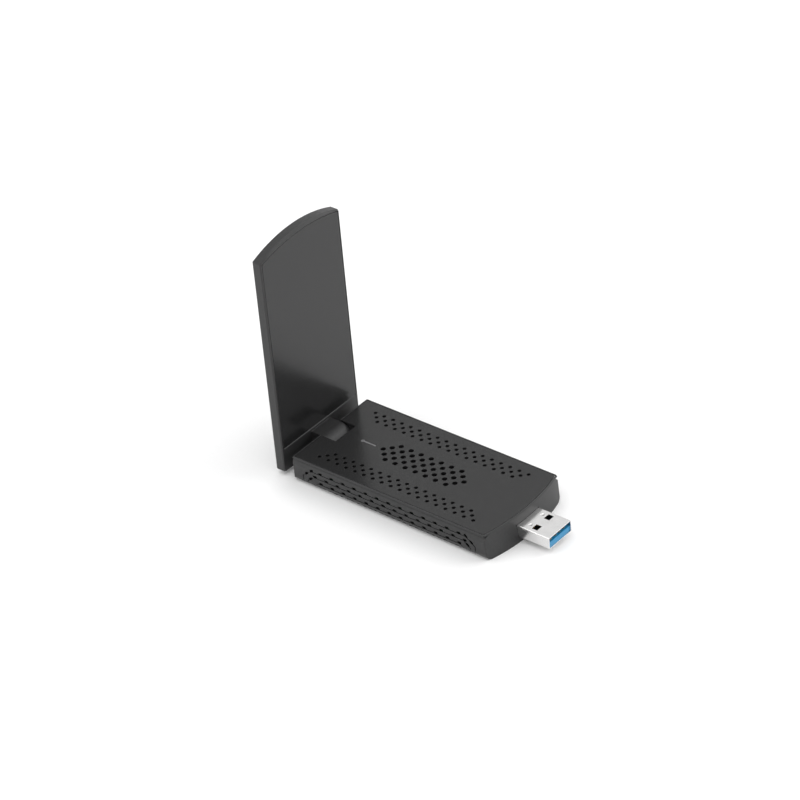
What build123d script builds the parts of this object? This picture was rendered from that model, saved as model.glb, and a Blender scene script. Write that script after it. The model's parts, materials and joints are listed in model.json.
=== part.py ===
from build123d import *
import os

# USB wi-fi adapter with a fold-up panel antenna.
#
# The housing is a flat tray closed by an inset top cover. A USB plug leaves its front end.
# The antenna panel stands behind the rear end on one hinge, and folds forward onto the top cover.
#
# Frame: X runs from the hinge to the plug, Z is up, and the origin is the middle of the flat base.
# All sizes are in millimetres.

os.makedirs("parts", exist_ok=True)

# ---------------------------------------------------------------- driving dimensions

# Housing
HOUSING_LENGTH = 85.0
HOUSING_WIDTH = 40.0
HOUSING_HEIGHT = 10.0
END_BOW = 3.0  # how far the front end bows out between its corners
SEAM_BOW = 2.4  # the same for the seam inside the bevel
FRONT_LEAN = 1.2  # how far the front face leans back between the base and the bevel
CORNER_RADIUS = 0.5
BASE_EDGE_RADIUS = 2.6
WALL = 1.2
FLOOR = 1.1
BEVEL_HEIGHT = 0.5
BEVEL_SIDE = 0.25
BEVEL_FRONT = 0.25
RIM_LAND = 0.25  # flat land between the bevel and the seam
SEAM_GAP = 0.18
COVER_THICKNESS = 1.2
EDGE_BREAK = 0.08  # small chamfer round both inset covers
LABEL_LENGTH = 26.0
LABEL_WIDTH = 20.0
LABEL_DEPTH = 0.15
LABEL_X = 19.0

# Hinge
AXIS_FROM_REAR = 2.2
AXIS_HEIGHT = 5.1
KNUCKLE_RADIUS = 3.7
KNUCKLE_WIDTH = 9.9
CROWN_RADIUS = 4.5  # the knuckle's upper half is fuller, and centred behind the axis
CROWN_SETBACK = 1.3
NOTCH_WIDTH = 10.5
NOTCH_DEPTH = 7.1
CHEEK_THICKNESS = 2.8
PIN_RADIUS = 1.6
SLEEVE_BORE_RADIUS = 1.1
RUNNING_CLEARANCE = 0.04
PIN_INNER_END = 2.6  # distance of each pin's inner end from the middle of the hinge
PIN_OUTER_END = 8.9

# Antenna panel, drawn standing upright
PANEL_WIDTH = 40.0
PANEL_THICKNESS = 3.8
PANEL_GAP = 4.0  # between the housing's rear face and the panel's inner face
PANEL_BOTTOM = 1.6
PANEL_TOP = 89.0
PANEL_BOW = 4.0
PANEL_SEAM_BOW = 2.9
PANEL_SKIN = 1.0
PANEL_WALL = 1.7
PANEL_BEVEL_END = 1.2  # the bevel is wider round the bowed end than along the sides
PANEL_COVER_BOTTOM = 10.8
PANEL_CORNER = 0.7
PANEL_BACK_RADIUS = 0.6
SILL = 0.2  # slope under the inner cover

# USB plug
PLUG_WIDTH = 12.0
PLUG_HEIGHT = 4.5
PLUG_AXIS_HEIGHT = 4.4
PLUG_EXPOSED = 12.0
PLUG_LENGTH = 18.0
SHELL_METAL = 0.3

# Circuit board
BOARD_THICKNESS = 1.0
BOARD_BOTTOM = 2.6
BOARD_WIDTH = 35.0
BOARD_FROM_REAR = 9.4
BOARD_LENGTH = 69.0

# Vents in the top cover
STRIP_HOLE_RADIUS = 0.7
STRIP_PITCH = 3.84
STRIP_ROW_SPACING = 1.92
STRIP_OUTER_ROW = 14.95
STRIP_FIRST_HOLE = 7.98
STRIP_ROWS = (18, 17, 16)
PATCH_HOLE_RADIUS = 0.95
PATCH_PITCH = 4.3
PATCH_ROW_SPACING = 2.16
PATCH_CENTRE = 40.6
PATCH_ROWS = (7, 8, 9, 8, 7)

# Nested grooves in the sides, each an arch with cut corners, and the slots that follow them
GROOVE_WIDTH = 0.4
GROOVE_DEPTH = 0.3
GROOVE_TOP = 6.8
GROOVE_SPACING = 2.0
GROOVE_REAR = 4.4
GROOVE_FRONT = 77.5
GROOVE_CUTS = ((3.6, 2.8), (2.8, 2.2), (2.4, 1.8), (1.8, 1.2))  # corner cut of each arch, X by Z
SLOT_LENGTH = 1.7
SLOT_WIDTH = 0.95
SLOT_FALL = 0.9  # the slots run inwards and down, this much for each millimetre of wall
SLOT_PITCH = 4.9
SLOT_RISE = 0.35  # the slots stand this far above their groove's middle
SLOT_MIDDLE = 41.4
SLOT_COUNTS = (13, 14, 13)
CORNER_SLOTS = ((0, 0.42), (0, 1.05), (1, 0.42))  # (arch, place along its corner cut)
CORNER_TILT = 38.0
TOOTH_HEIGHT = 1.15  # of the middle of each notch above the base
TOOTH_LENGTH = 1.35
TOOTH_WIDTH = 1.05
TOOTH_DEPTH = 1.7
TOOTH_COUNT = 24

COAX_RADIUS = 0.4
COAX_OFFSET = 0.45  # half the distance between the two cables in the sleeve
COAX_MEETING_Y = -3.0  # where the housing's and the antenna's lengths of cable meet

# ---------------------------------------------------------------- derived places

REAR_X = -HOUSING_LENGTH / 2
FRONT_X = HOUSING_LENGTH / 2
HALF_WIDTH = HOUSING_WIDTH / 2
COVER_BOTTOM = HOUSING_HEIGHT - COVER_THICKNESS
BODY_SIDE_TOP = HOUSING_HEIGHT - BEVEL_HEIGHT
AXIS_X = REAR_X + AXIS_FROM_REAR
PANEL_INNER_X = REAR_X - PANEL_GAP
PANEL_OUTER_X = PANEL_INNER_X - PANEL_THICKNESS
PANEL_FLOOR_X = PANEL_OUTER_X + PANEL_SKIN
PANEL_COVER_X = PANEL_INNER_X - PANEL_SKIN
BOARD_TOP = BOARD_BOTTOM + BOARD_THICKNESS
BOARD_REAR_X = REAR_X + BOARD_FROM_REAR
BOARD_FRONT_X = BOARD_REAR_X + BOARD_LENGTH
PLUG_TIP_X = FRONT_X + PLUG_EXPOSED
PLUG_REAR_X = PLUG_TIP_X - PLUG_LENGTH
PLUG_BOTTOM = PLUG_AXIS_HEIGHT - PLUG_HEIGHT / 2
PLUG_TOP = PLUG_AXIS_HEIGHT + PLUG_HEIGHT / 2
CHEEK_OUTER = NOTCH_WIDTH / 2 + CHEEK_THICKNESS
HINGE_BLOCK_LENGTH = NOTCH_DEPTH + WALL
PANEL_PLANE = Plane(origin=(PANEL_OUTER_X, 0, 0), x_dir=(0, 0, 1), z_dir=(1, 0, 0))
HINGE_PLANE = Plane(origin=(AXIS_X, 0, AXIS_HEIGHT), x_dir=(1, 0, 0), z_dir=(0, 1, 0))


def from_rear(distance):
    """X of a point a given distance ahead of the housing's rear face."""
    return REAR_X + distance


def save(part, name):
    """Label a finished piece and write it as its own STEP file."""
    part.label = name
    export_step(part, f"parts/{name}.step")


# ---------------------------------------------------------------- outlines


def bowed_outline(rear, front, half_width, bow, corner):
    """A rectangle with small round corners, whose front end bows out as one arc."""
    with BuildSketch() as outline:
        with BuildLine():
            Polyline(
                (front - bow, half_width),
                (rear, half_width),
                (rear, -half_width),
                (front - bow, -half_width),
            )
            ThreePointArc((front - bow, -half_width), (front, 0), (front - bow, half_width))
        make_face()
        fillet(outline.vertices(), corner)
    return outline.sketch


def arch_places(index):
    """Rear X, front X and top Z of one of the nested arches."""
    inset = index * GROOVE_SPACING
    return from_rear(GROOVE_REAR + inset), from_rear(GROOVE_FRONT - inset), GROOVE_TOP - inset


def groove_outline(index):
    """One closed band of the nested side grooves: an arch that runs off below the base."""
    rear, front, top = arch_places(index)
    cut_x, cut_z = GROOVE_CUTS[index]
    foot = -2.0
    with BuildSketch() as band:
        with BuildLine():
            Polyline(
                (rear, foot),
                (rear, top - cut_z),
                (rear + cut_x, top),
                (front - cut_x, top),
                (front, top - cut_z),
                (front, foot),
            )
            offset(amount=GROOVE_WIDTH / 2, side=Side.BOTH)
        make_face()
    return band.sketch


def slot_rows():
    """The slots above the grooves: staggered rows, and tilted ones along the corner cuts."""
    with BuildSketch() as slots:
        for index, count in enumerate(SLOT_COUNTS):
            with Locations((from_rear(SLOT_MIDDLE), arch_places(index)[2] + SLOT_RISE)):
                with GridLocations(SLOT_PITCH, 1, count, 1):
                    SlotOverall(SLOT_LENGTH, SLOT_WIDTH)
        for index, along in CORNER_SLOTS:
            rear, front, top = arch_places(index)
            cut_x, cut_z = GROOVE_CUTS[index]
            slot_z = top - cut_z * (1 - along) + SLOT_RISE / 2
            with Locations((rear + along * cut_x, slot_z)):
                SlotOverall(SLOT_LENGTH, SLOT_WIDTH, rotation=CORNER_TILT)
            with Locations((front - along * cut_x, slot_z)):
                SlotOverall(SLOT_LENGTH, SLOT_WIDTH, rotation=-CORNER_TILT)
    return slots.sketch


def tooth_row():
    """A close row of notches along the rounded lower edge."""
    with BuildSketch() as teeth:
        with Locations((from_rear(SLOT_MIDDLE), TOOTH_HEIGHT)):
            with GridLocations(SLOT_PITCH / 2, 1, TOOTH_COUNT, 1):
                SlotOverall(TOOTH_LENGTH, TOOTH_WIDTH)
    return teeth.sketch


SHOULDER_X = FRONT_X - FRONT_LEAN  # front of the housing at the foot of its bevel
housing_outline = bowed_outline(REAR_X, FRONT_X, HALF_WIDTH, END_BOW, CORNER_RADIUS)
shoulder_outline = bowed_outline(REAR_X, SHOULDER_X, HALF_WIDTH, SEAM_BOW, CORNER_RADIUS)
cavity_outline = bowed_outline(
    REAR_X + WALL, SHOULDER_X - WALL, HALF_WIDTH - WALL, END_BOW, CORNER_RADIUS
)


def inset_housing(inset):
    """Housing outline drawn in by an inset from the land inside the bevel."""
    return bowed_outline(
        REAR_X + BEVEL_SIDE + inset,
        SHOULDER_X - BEVEL_FRONT - inset,
        HALF_WIDTH - BEVEL_SIDE - inset,
        SEAM_BOW,
        CORNER_RADIUS,
    )


land_outline = inset_housing(0)
recess_outline = inset_housing(RIM_LAND)
cover_outline = inset_housing(RIM_LAND + SEAM_GAP)
groove_outlines = [groove_outline(index) for index in range(len(GROOVE_CUTS))]
slot_outlines = slot_rows()
tooth_outlines = tooth_row()

# Fixing points, as (x, y)
case_screw_places = [(from_rear(5.4), side * 15.6) for side in (-1, 1)]
board_screw_places = [(from_rear(72.0), side * 13.5) for side in (-1, 1)]
board_rest_places = [(from_rear(24.0), side * 15.2) for side in (-1, 1)]

CASE_PAD_RADIUS = 2.4
CASE_PAD_HEIGHT = 2.4
CASE_HEAD_RADIUS = 1.4
CASE_HEAD_HEIGHT = 1.0
CASE_SHANK_RADIUS = 0.65
CASE_SHANK_TOP = 6.6
POST_RADIUS = 1.7
SCREW_CLEARANCE = 0.02
BOARD_BOSS_RADIUS = 2.1
BOARD_HEAD_RADIUS = 1.4
BOARD_HEAD_HEIGHT = 0.8
BOARD_SHANK_RADIUS = 0.6
BOARD_SHANK_BOTTOM = 1.4

# ---------------------------------------------------------------- housing

with BuildPart() as bottom_shell:
    # The outline seen from above, leaning back at the front, cut to a section with round lower edges
    with BuildSketch():
        add(housing_outline)
    with BuildSketch(Plane.XY.offset(BODY_SIDE_TOP)):
        add(shoulder_outline)
    loft(ruled=True)
    with BuildSketch(Plane.YZ.offset(REAR_X)):
        with Locations((0, BODY_SIDE_TOP / 2)):
            section = Rectangle(HOUSING_WIDTH, BODY_SIDE_TOP)
        fillet(section.vertices().group_by(Axis.Z)[0], BASE_EDGE_RADIUS)
    extrude(amount=HOUSING_LENGTH, mode=Mode.INTERSECT)
    with BuildSketch(Plane.XY.offset(BODY_SIDE_TOP)):
        add(shoulder_outline)
    with BuildSketch(Plane.XY.offset(HOUSING_HEIGHT)):
        add(land_outline)
    loft(ruled=True)

    # Cavity, and the recess that takes the cover
    with BuildSketch(Plane.XY.offset(FLOOR)):
        add(cavity_outline)
    extrude(amount=COVER_BOTTOM - FLOOR, mode=Mode.SUBTRACT)
    with BuildSketch(Plane.XY.offset(COVER_BOTTOM)):
        add(recess_outline)
    extrude(amount=COVER_THICKNESS, mode=Mode.SUBTRACT)

    # Hinge block with its notch, open to the rear and to the top
    with Locations((REAR_X, 0, 0)):
        Box(
            HINGE_BLOCK_LENGTH,
            2 * CHEEK_OUTER,
            COVER_BOTTOM,
            align=(Align.MIN, Align.CENTER, Align.MIN),
        )
    with Locations((REAR_X - 1, 0, FLOOR)):
        Box(
            NOTCH_DEPTH + 1,
            NOTCH_WIDTH,
            HOUSING_HEIGHT,
            align=(Align.MIN, Align.CENTER, Align.MIN),
            mode=Mode.SUBTRACT,
        )
    with BuildSketch(HINGE_PLANE):
        Circle(PIN_RADIUS + RUNNING_CLEARANCE / 2)
    extrude(amount=CHEEK_OUTER + 1, both=True, mode=Mode.SUBTRACT)

    # Pads for the case screws, and bosses and rests under the board
    with BuildSketch(Plane.XY.offset(FLOOR)):
        with Locations(*case_screw_places):
            Circle(CASE_PAD_RADIUS)
    extrude(amount=CASE_PAD_HEIGHT - FLOOR)
    with BuildSketch():
        with Locations(*case_screw_places):
            Circle(CASE_SHANK_RADIUS + 0.15)
    extrude(amount=CASE_PAD_HEIGHT, mode=Mode.SUBTRACT)
    with BuildSketch():
        with Locations(*case_screw_places):
            Circle(CASE_HEAD_RADIUS + 0.15)
    extrude(amount=CASE_HEAD_HEIGHT + 0.3, mode=Mode.SUBTRACT)
    with BuildSketch(Plane.XY.offset(FLOOR)):
        with Locations(*board_screw_places):
            Circle(BOARD_BOSS_RADIUS)
        with Locations(*board_rest_places):
            Rectangle(6, 2)
    extrude(amount=BOARD_BOTTOM - FLOOR)
    with BuildSketch(Plane.XY.offset(BOARD_SHANK_BOTTOM - 0.1)):
        with Locations(*board_screw_places):
            Circle(BOARD_SHANK_RADIUS + SCREW_CLEARANCE)
    extrude(amount=BOARD_BOTTOM, mode=Mode.SUBTRACT)

    # Window for the plug in the front wall
    with Locations((FRONT_X, 0, PLUG_AXIS_HEIGHT)):
        Box(4 * WALL + END_BOW, PLUG_WIDTH + 0.2, PLUG_HEIGHT + 0.2, mode=Mode.SUBTRACT)

    # Nested grooves on both sides, slots through the wall above them, and notches in the lower edge
    for side in (-1, 1):
        wall_plane = Plane(origin=(0, side * HALF_WIDTH, 0), x_dir=(1, 0, 0), z_dir=(0, -1, 0))
        for outline in groove_outlines:
            with BuildSketch(wall_plane):
                add(outline)
            extrude(amount=side * GROOVE_DEPTH, mode=Mode.SUBTRACT)
        with BuildSketch(wall_plane):
            add(slot_outlines)
        slot_run = (WALL + 0.1) * (1 + SLOT_FALL**2) ** 0.5
        extrude(amount=slot_run, dir=(0, -side, -SLOT_FALL), mode=Mode.SUBTRACT)
        with BuildSketch(wall_plane):
            add(tooth_outlines)
        extrude(amount=side * TOOTH_DEPTH, mode=Mode.SUBTRACT)

    # Shallow blank recess for a label, in the base
    with BuildSketch():
        with Locations((LABEL_X, 0)):
            RectangleRounded(LABEL_LENGTH, LABEL_WIDTH, 1.0)
    extrude(amount=LABEL_DEPTH, mode=Mode.SUBTRACT)
save(bottom_shell.part, "bottom_shell")

LIGHT_SLIT_REAR = from_rear(14.0)
LIGHT_SLIT_LENGTH = 6.2
LIGHT_SLIT_WIDTH = 0.5
LIGHT_EYE_RADIUS = 0.6
LIGHT_EYE_HOLE = 0.28
LIGHT_EYE_DEPTH = 0.5


def light_slit(gap):
    """Keyhole outline of the indicator: a thin bar with a round eye at its rear end."""
    with BuildSketch() as slit:
        with Locations((LIGHT_SLIT_REAR + LIGHT_SLIT_LENGTH / 2, 0)):
            SlotOverall(LIGHT_SLIT_LENGTH + 2 * gap, LIGHT_SLIT_WIDTH + 2 * gap)
        with Locations((LIGHT_SLIT_REAR + LIGHT_EYE_RADIUS, 0)):
            Circle(LIGHT_EYE_RADIUS + gap)
    return slit.sketch


slit_opening = light_slit(0.03)
slit_filling = light_slit(0)

with BuildPart() as top_cover:
    with BuildSketch(Plane.XY.offset(COVER_BOTTOM)):
        add(cover_outline)
    extrude(amount=COVER_THICKNESS)
    chamfer(top_cover.faces().sort_by(Axis.Z)[-1].edges(), EDGE_BREAK)

    # Screw posts and side tabs under the plate
    with BuildSketch(Plane.XY.offset(CASE_PAD_HEIGHT + 0.05)):
        with Locations(*case_screw_places):
            Circle(POST_RADIUS)
    extrude(amount=COVER_BOTTOM - CASE_PAD_HEIGHT)
    with BuildSketch(Plane.XY.offset(CASE_PAD_HEIGHT)):
        with Locations(*case_screw_places):
            Circle(CASE_SHANK_RADIUS + SCREW_CLEARANCE)
    extrude(amount=CASE_SHANK_TOP - CASE_PAD_HEIGHT + 0.2, mode=Mode.SUBTRACT)
    with BuildSketch(Plane.XY.offset(COVER_BOTTOM - 2.2)):
        with GridLocations(34.0, HOUSING_WIDTH - 2 * WALL - 1.4, 2, 2):
            Rectangle(5.0, 1.0)
    extrude(amount=2.3)

    # Hinge notch
    with Locations((REAR_X - 1, 0, COVER_BOTTOM - 1)):
        Box(
            NOTCH_DEPTH + 1,
            NOTCH_WIDTH,
            HOUSING_HEIGHT,
            align=(Align.MIN, Align.CENTER, Align.MIN),
            mode=Mode.SUBTRACT,
        )

    # Vents: a strip of three staggered rows on each side, and a hexagonal patch in the middle
    with BuildSketch(Plane.XY.offset(COVER_BOTTOM - 0.5)):
        for side in (-1, 1):
            for row, count in enumerate(STRIP_ROWS):
                first = from_rear(STRIP_FIRST_HOLE + row * STRIP_PITCH / 2)
                row_y = side * (STRIP_OUTER_ROW - row * STRIP_ROW_SPACING)
                with Locations(*[(first + i * STRIP_PITCH, row_y) for i in range(count)]):
                    Circle(STRIP_HOLE_RADIUS)
        for row, count in enumerate(PATCH_ROWS):
            row_y = (row - (len(PATCH_ROWS) - 1) / 2) * PATCH_ROW_SPACING
            with Locations((from_rear(PATCH_CENTRE), row_y)):
                with GridLocations(PATCH_PITCH, 1, count, 1):
                    Circle(PATCH_HOLE_RADIUS)
        add(slit_opening)
    extrude(amount=COVER_THICKNESS + 1, mode=Mode.SUBTRACT)
save(top_cover.part, "top_cover")

# ---------------------------------------------------------------- USB plug

PLUG_CORNER = 0.45
WINDOW_FROM_TIP = 6.9
WINDOW_LENGTH = 2.2
WINDOW_WIDTH = 2.6
WINDOW_SPACING = 6.5
DIMPLE_FROM_TIP = 9.5
DIMPLE_SPHERE = 1.1
DIMPLE_DEPTH = 0.22
SHELL_SEAM_WIDTH = 0.16  # folded seam along each narrow side, just under the rounded edge
SHELL_SEAM_DEPTH = 0.14
EAR_LENGTH = 3.0
EAR_HEIGHT = 3.4

with BuildPart() as usb_shell:
    with BuildSketch(Plane.YZ.offset(PLUG_REAR_X)):
        with Locations((0, PLUG_AXIS_HEIGHT)):
            RectangleRounded(PLUG_WIDTH, PLUG_HEIGHT, PLUG_CORNER)
            RectangleRounded(
                PLUG_WIDTH - 2 * SHELL_METAL,
                PLUG_HEIGHT - 2 * SHELL_METAL,
                PLUG_CORNER - SHELL_METAL + 0.1,
                mode=Mode.SUBTRACT,
            )
    extrude(amount=PLUG_LENGTH)
    # Square windows go through the top and the bottom, and small dents sit behind them
    with BuildSketch():
        with Locations((PLUG_TIP_X - WINDOW_FROM_TIP, 0)):
            with GridLocations(1, WINDOW_SPACING, 1, 2):
                Rectangle(WINDOW_LENGTH, WINDOW_WIDTH)
    extrude(amount=PLUG_TOP + 1, mode=Mode.SUBTRACT)
    with Locations((PLUG_TIP_X - DIMPLE_FROM_TIP, 0, PLUG_TOP + DIMPLE_SPHERE - DIMPLE_DEPTH)):
        with GridLocations(1, WINDOW_SPACING, 1, 2):
            Sphere(DIMPLE_SPHERE, mode=Mode.SUBTRACT)
    for side in (-1, 1):
        with Locations((PLUG_TIP_X, side * PLUG_WIDTH / 2, PLUG_TOP - PLUG_CORNER)):
            Box(
                PLUG_EXPOSED - 1,
                2 * SHELL_SEAM_DEPTH,
                SHELL_SEAM_WIDTH,
                align=(Align.MAX, Align.CENTER, Align.CENTER),
                mode=Mode.SUBTRACT,
            )
    # Ears that stand in slots of the board
    for side in (-1, 1):
        with Locations((PLUG_REAR_X, side * (PLUG_WIDTH - SHELL_METAL) / 2, PLUG_AXIS_HEIGHT)):
            Box(EAR_LENGTH, SHELL_METAL, EAR_HEIGHT, align=(Align.MAX, Align.CENTER, Align.CENTER))
save(usb_shell.part, "usb_shell")

TONGUE_TOP = PLUG_AXIS_HEIGHT
TONGUE_BOTTOM = PLUG_BOTTOM + SHELL_METAL + 0.02
TONGUE_RECESS = 0.35
REAR_BLOCK_LENGTH = 2.8

with BuildPart() as usb_tongue:
    with Locations((PLUG_REAR_X, 0, TONGUE_BOTTOM)):
        Box(
            PLUG_LENGTH - TONGUE_RECESS,
            PLUG_WIDTH - 2 * SHELL_METAL - 0.1,
            TONGUE_TOP - TONGUE_BOTTOM,
            align=(Align.MIN, Align.CENTER, Align.MIN),
        )
        Box(
            REAR_BLOCK_LENGTH,
            PLUG_WIDTH - 2 * SHELL_METAL - 0.1,
            PLUG_HEIGHT - 2 * SHELL_METAL - 0.04,
            align=(Align.MIN, Align.CENTER, Align.MIN),
        )
    long_edges = usb_tongue.edges().filter_by(Axis.X).group_by(Axis.Z)
    chamfer(long_edges[0] + long_edges[-1], 0.3)
save(usb_tongue.part, "usb_tongue")

with BuildPart() as usb2_contacts:
    with BuildSketch(Plane.XY.offset(TONGUE_TOP)):
        with Locations(*[(PLUG_TIP_X - 4.6, y) for y in (-3.5, -1.0, 1.0, 3.5)]):
            Rectangle(7.0, 1.0)
    extrude(amount=0.1)
save(usb2_contacts.part, "usb2_contacts")

with BuildPart() as usb3_contacts:
    with BuildSketch(Plane.XY.offset(TONGUE_TOP)):
        with Locations((PLUG_TIP_X - 11.0, 0)):
            with GridLocations(1, 2.0, 1, 5):
                Rectangle(4.0, 0.8)
    extrude(amount=0.2)
save(usb3_contacts.part, "usb3_contacts")

with BuildPart() as contact_tails:
    with BuildSketch(Plane.XY.offset(BOARD_TOP)):
        with Locations((PLUG_REAR_X - 1.5, 0)):
            with GridLocations(1, 1.1, 1, 9):
                Rectangle(3.0, 0.5)
    extrude(amount=0.2)
save(contact_tails.part, "contact_tails")

# ---------------------------------------------------------------- main board and its parts

with BuildPart() as main_board:
    with Locations((BOARD_REAR_X, 0, BOARD_BOTTOM)):
        Box(
            BOARD_LENGTH,
            BOARD_WIDTH,
            BOARD_THICKNESS,
            align=(Align.MIN, Align.CENTER, Align.MIN),
        )
    fillet(main_board.edges().filter_by(Axis.Z), 1.0)
    with BuildSketch(Plane.XY.offset(BOARD_BOTTOM)):
        with Locations(*board_screw_places):
            Circle(BOARD_SHANK_RADIUS + 0.2)
        for side in (-1, 1):
            with Locations((BOARD_FRONT_X, side * (PLUG_WIDTH - SHELL_METAL) / 2)):
                Rectangle(6.0, SHELL_METAL + 0.3)
    extrude(amount=BOARD_THICKNESS, mode=Mode.SUBTRACT)
save(main_board.part, "main_board")


def box_on_board(name, width, depth, height, places, base=BOARD_TOP):
    """One or more equal plain components standing on the board, saved under one name."""
    with BuildPart() as component:
        with BuildSketch(Plane.XY.offset(base)):
            with Locations(*places):
                Rectangle(width, depth)
        extrude(amount=height)
        if height >= 0.6:
            chamfer(component.faces().sort_by(Axis.Z)[-1].edges(), min(0.1, height / 8))
    save(component.part, name)


CHIP_X = from_rear(PATCH_CENTRE)
CHIP_HEIGHT = 0.9
SHIELD_LENGTH = 22.0
SHIELD_WIDTH = 17.0
SHIELD_HEIGHT = 1.5
SHIELD_METAL = 0.3
SHIELD_TOP = BOARD_TOP + SHIELD_HEIGHT + 0.02 + SHIELD_METAL

box_on_board("wifi_chip", 9.0, 9.0, CHIP_HEIGHT, [(CHIP_X, 0)])
box_on_board("flash_chip", 4.9, 3.9, 1.4, [(from_rear(60.0), 7.0)])
box_on_board("crystal", 3.2, 2.5, 0.7, [(from_rear(56.5), -6.5)])
box_on_board("regulator", 3.0, 3.0, 0.9, [(from_rear(63.0), -7.0)])
box_on_board("power_inductor", 3.6, 3.6, 1.8, [(from_rear(68.0), -7.0)])
box_on_board("rf_amplifiers", 3.0, 3.0, 0.8, [(from_rear(25.5), -7.0), (from_rear(25.5), 5.0)])
capacitor_places = [
    (from_rear(x), y)
    for x, y in (
        (22.0, -3.6),
        (22.0, 8.6),
        (28.5, -11.5),
        (28.5, 11.5),
        (55.0, 4.0),
        (55.0, 10.5),
        (60.0, -2.5),
        (64.0, 1.5),
        (68.0, 5.0),
        (72.0, -2.5),
        (72.0, 7.0),
    )
]
box_on_board("capacitors", 1.6, 0.8, 0.8, capacitor_places)
filter_places = [(from_rear(20.5), y) for y in (-8.0, 3.0)]
box_on_board("rf_filters", 1.6, 1.2, 0.5, filter_places)

with BuildPart() as shield_frame:
    with BuildSketch(Plane.XY.offset(BOARD_TOP)):
        with Locations((CHIP_X, 0)):
            Rectangle(SHIELD_LENGTH, SHIELD_WIDTH)
            Rectangle(SHIELD_LENGTH - 2 * SHIELD_METAL, SHIELD_WIDTH - 2 * SHIELD_METAL, mode=Mode.SUBTRACT)
    extrude(amount=SHIELD_HEIGHT)
save(shield_frame.part, "shield_frame")

with BuildPart() as shield_lid:
    with BuildSketch(Plane.XY.offset(BOARD_TOP + 0.4)):
        with Locations((CHIP_X, 0)):
            RectangleRounded(SHIELD_LENGTH + 0.7, SHIELD_WIDTH + 0.7, 0.35)
    extrude(amount=SHIELD_TOP - BOARD_TOP - 0.4)
    with BuildSketch(Plane.XY.offset(BOARD_TOP)):
        with Locations((CHIP_X, 0)):
            Rectangle(SHIELD_LENGTH + 0.1, SHIELD_WIDTH + 0.1)
    extrude(amount=SHIELD_HEIGHT + 0.02, mode=Mode.SUBTRACT)
save(shield_lid.part, "shield_lid")

PAD_THICKNESS = 0.6
SINK_BASE = 0.8
SINK_FIN_HEIGHT = 1.4
SINK_LENGTH = 30.0
SINK_WIDTH = 20.0

with BuildPart() as thermal_pads:
    with BuildSketch(Plane.XY.offset(BOARD_TOP + CHIP_HEIGHT)):
        with Locations((CHIP_X, 0)):
            Rectangle(8.0, 8.0)
    extrude(amount=SHIELD_HEIGHT + 0.02 - CHIP_HEIGHT)
    with BuildSketch(Plane.XY.offset(SHIELD_TOP)):
        with Locations((CHIP_X, 0)):
            Rectangle(18.0, 14.0)
    extrude(amount=PAD_THICKNESS)
save(thermal_pads.part, "thermal_pads")

with BuildPart() as heat_sink:
    with BuildSketch(Plane.XY.offset(SHIELD_TOP + PAD_THICKNESS)):
        with Locations((CHIP_X, 0)):
            RectangleRounded(SINK_LENGTH, SINK_WIDTH, 1.0)
    extrude(amount=SINK_BASE)
    with BuildSketch(Plane.XY.offset(SHIELD_TOP + PAD_THICKNESS + SINK_BASE)):
        with Locations((CHIP_X, 0)):
            with GridLocations(1, 2.6, 1, 8):
                Rectangle(SINK_LENGTH - 1, 0.8)
    extrude(amount=SINK_FIN_HEIGHT)
save(heat_sink.part, "heat_sink")

# ---------------------------------------------------------------- status light

LED_HEIGHT = 0.8
LED_X = LIGHT_SLIT_REAR + LIGHT_SLIT_LENGTH / 2
GUIDE_FOOT_TOP = COVER_BOTTOM - 0.05

box_on_board("status_led", 1.6, 0.8, LED_HEIGHT, [(LED_X, 0)])

with BuildPart() as light_guide:
    with BuildSketch(Plane.XY.offset(GUIDE_FOOT_TOP)):
        add(slit_filling)
    extrude(amount=HOUSING_HEIGHT - GUIDE_FOOT_TOP)
    with BuildSketch(Plane.XY.offset(HOUSING_HEIGHT)):
        with Locations((LIGHT_SLIT_REAR + LIGHT_EYE_RADIUS, 0)):
            Circle(LIGHT_EYE_HOLE)
    extrude(amount=-LIGHT_EYE_DEPTH, mode=Mode.SUBTRACT)
    with BuildSketch(Plane.XY.offset(GUIDE_FOOT_TOP)):
        with Locations((LED_X, 0)):
            RectangleRounded(LIGHT_SLIT_LENGTH + 2, 2.2, 0.4)
    extrude(amount=-1.0)
    with BuildSketch(Plane.XY.offset(GUIDE_FOOT_TOP - 1.0)):
        with Locations((LED_X, 0)):
            Circle(0.8)
    extrude(amount=BOARD_TOP + LED_HEIGHT + 0.3 - GUIDE_FOOT_TOP + 1.0)
save(light_guide.part, "light_guide")

# ---------------------------------------------------------------- coaxial cables in the housing

COAX_TURN_Y = -9.2  # the cables enter the sleeve straight beyond this line
COAX_TURN_CENTRE_X = from_rear(5.2)
COAX_LEFT_X = AXIS_X - COAX_OFFSET
COAX_RIGHT_X = AXIS_X + COAX_OFFSET
LEFT_RADIUS = COAX_TURN_CENTRE_X - COAX_LEFT_X
RIGHT_RADIUS = COAX_TURN_CENTRE_X - COAX_RIGHT_X
LEFT_RUN_Y = COAX_TURN_Y - LEFT_RADIUS
RIGHT_RUN_Y = COAX_TURN_Y - RIGHT_RADIUS
CONNECTOR_RADIUS = 1.3
# Each connector is (x of its rear side, y)
right_connector = (from_rear(13.0), RIGHT_RUN_Y)
left_connector = (from_rear(17.6), -14.9)


def cable(path_points, radii):
    """A round cable swept along straight runs joined by tangent arcs."""
    with BuildPart() as length:
        with BuildLine() as route:
            FilletPolyline(*path_points, radius=radii)
        with BuildSketch(Plane(origin=route.line @ 0, z_dir=route.line % 0)):
            Circle(COAX_RADIUS)
        sweep()
    return length.part


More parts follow.
